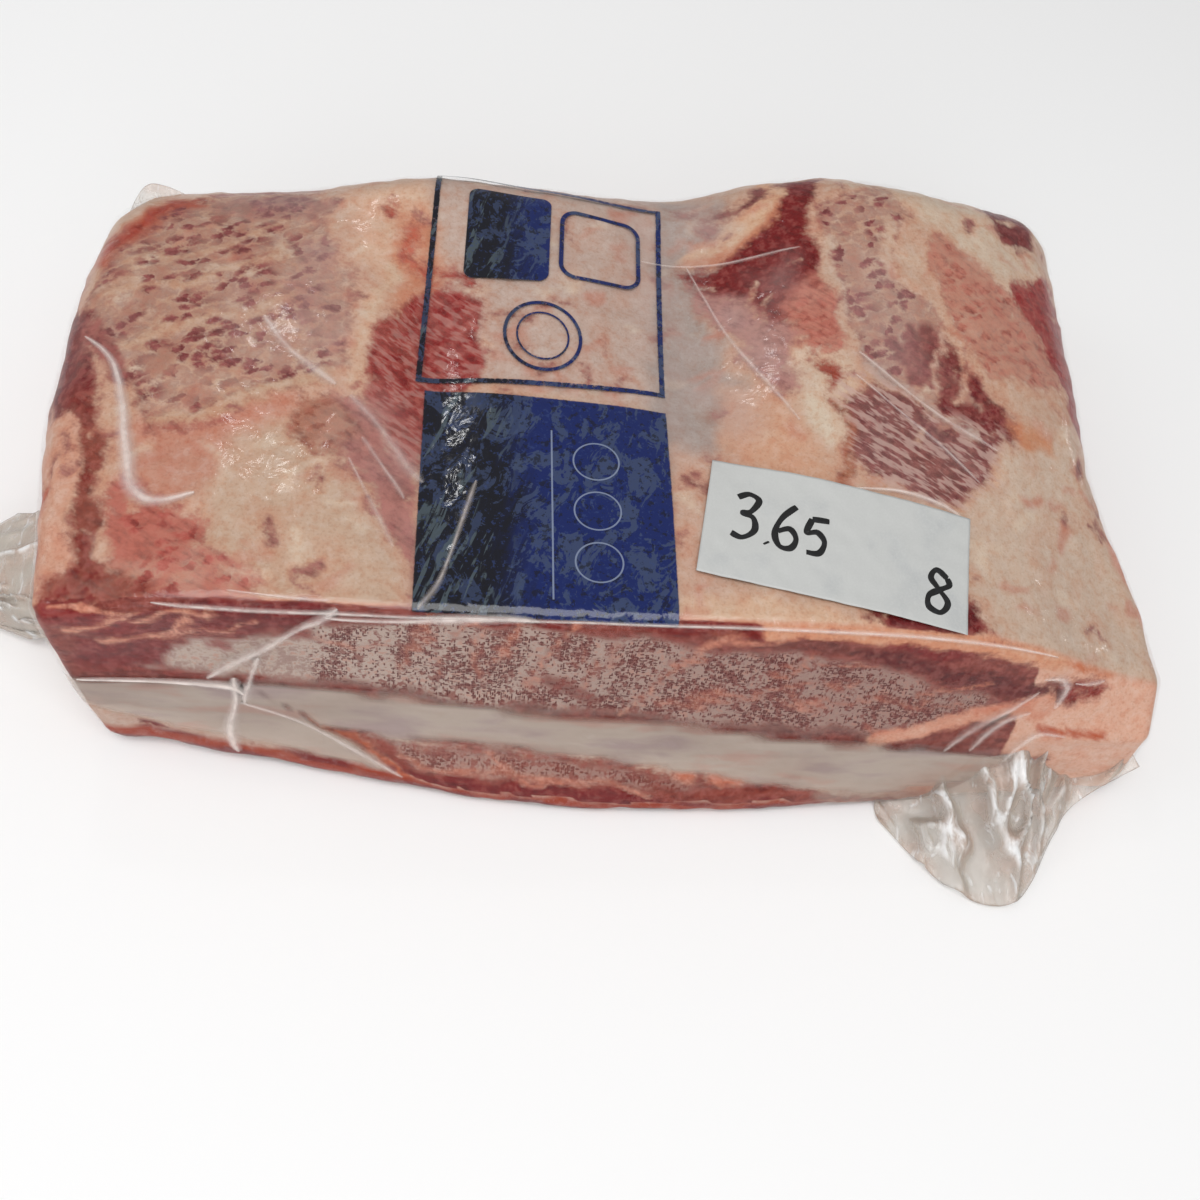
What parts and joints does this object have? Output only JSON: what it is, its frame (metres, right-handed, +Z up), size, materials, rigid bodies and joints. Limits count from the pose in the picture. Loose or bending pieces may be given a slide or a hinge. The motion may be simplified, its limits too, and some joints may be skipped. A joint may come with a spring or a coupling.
{
  "type": "vacuum packed beef rib roast",
  "caption": "Raw boneless beef rib roast: a long marbled block of meat sealed in clear vacuum film with a navy print, loose film at the corners and a paper weight label.",
  "frame": {"origin": "under the middle of the whole pack, on the surface it lies on", "axes": "+X along the pack to the right in the picture, +Y away from the camera, +Z up"},
  "size_m": [0.362, 0.2382, 0.0743],
  "materials": {
    "film_over_raw_beef": "clear glossy film drawn tight on raw meat",
    "white_paper": "plain paper label"
  },
  "bodies": {
    "root": {"sealed_roast": "film_over_raw_beef", "weight_label": "white_paper"}
  },
  "joints": []
}
